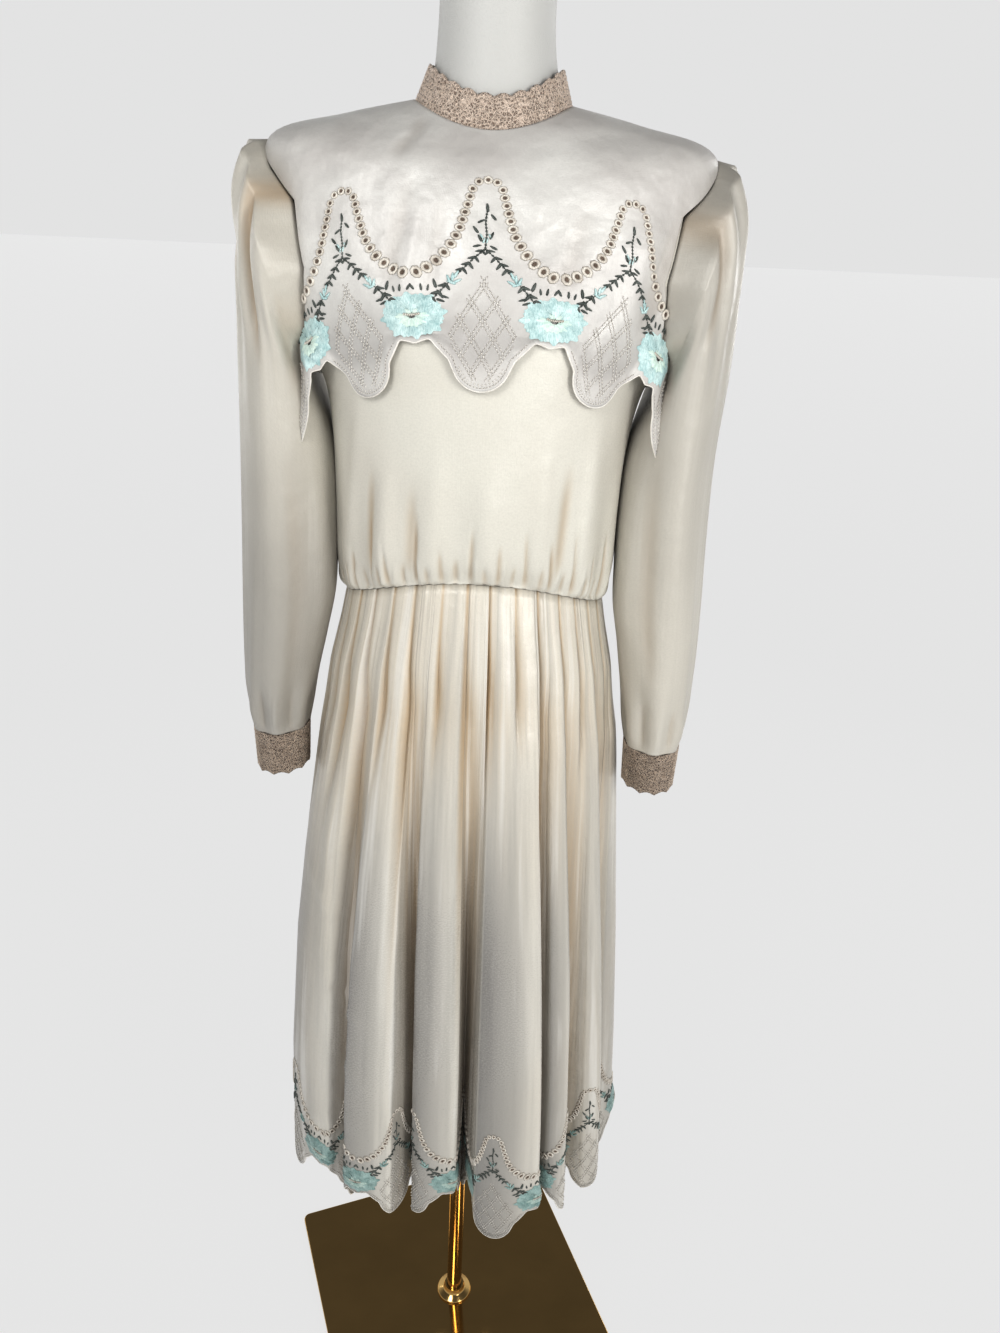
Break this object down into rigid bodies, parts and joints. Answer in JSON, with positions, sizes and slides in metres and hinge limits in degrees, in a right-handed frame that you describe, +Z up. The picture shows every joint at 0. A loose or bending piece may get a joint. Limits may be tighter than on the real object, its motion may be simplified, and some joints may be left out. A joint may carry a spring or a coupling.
{
  "type": "long-sleeved satin dress on a limbless dress form with a pole and plate stand",
  "caption": "Cream satin dress with lace stand collar and cuffs, a scalloped embroidered yoke and a pleated scalloped skirt, worn by a limbless dress form on a brass stand.",
  "frame": {"origin": "the pole's axis at the underside of the base plate", "axes": "+Z up along the pole, -Y out of the front of the dress, +X to the right of someone who looks at the front"},
  "size_m": [0.4627, 0.4602, 1.5775],
  "materials": {
    "satin": "satin",
    "lace": "matte",
    "thread_aqua": "satin",
    "thread_leaf": "satin",
    "thread_white": "satin",
    "form": "matte",
    "brass": "polished"
  },
  "bodies": {
    "root": {"bodice_front": "satin", "bodice_back_left": "satin", "bodice_back_right": "satin", "yoke_front": "satin", "collar": "lace", "sleeve_left": "satin", "sleeve_right": "satin", "cuff_left": "lace", "cuff_right": "lace", "skirt_front": "satin", "skirt_back": "satin", "back_button_1": "satin", "back_button_2": "satin", "back_button_3": "satin", "back_button_4": "satin", "back_button_5": "satin", "back_button_6": "satin", "back_button_7": "satin", "back_button_8": "satin", "dress_form": "form", "base_plate": "brass", "pole": "brass", "pole_flange": "brass"}
  },
  "joints": []
}
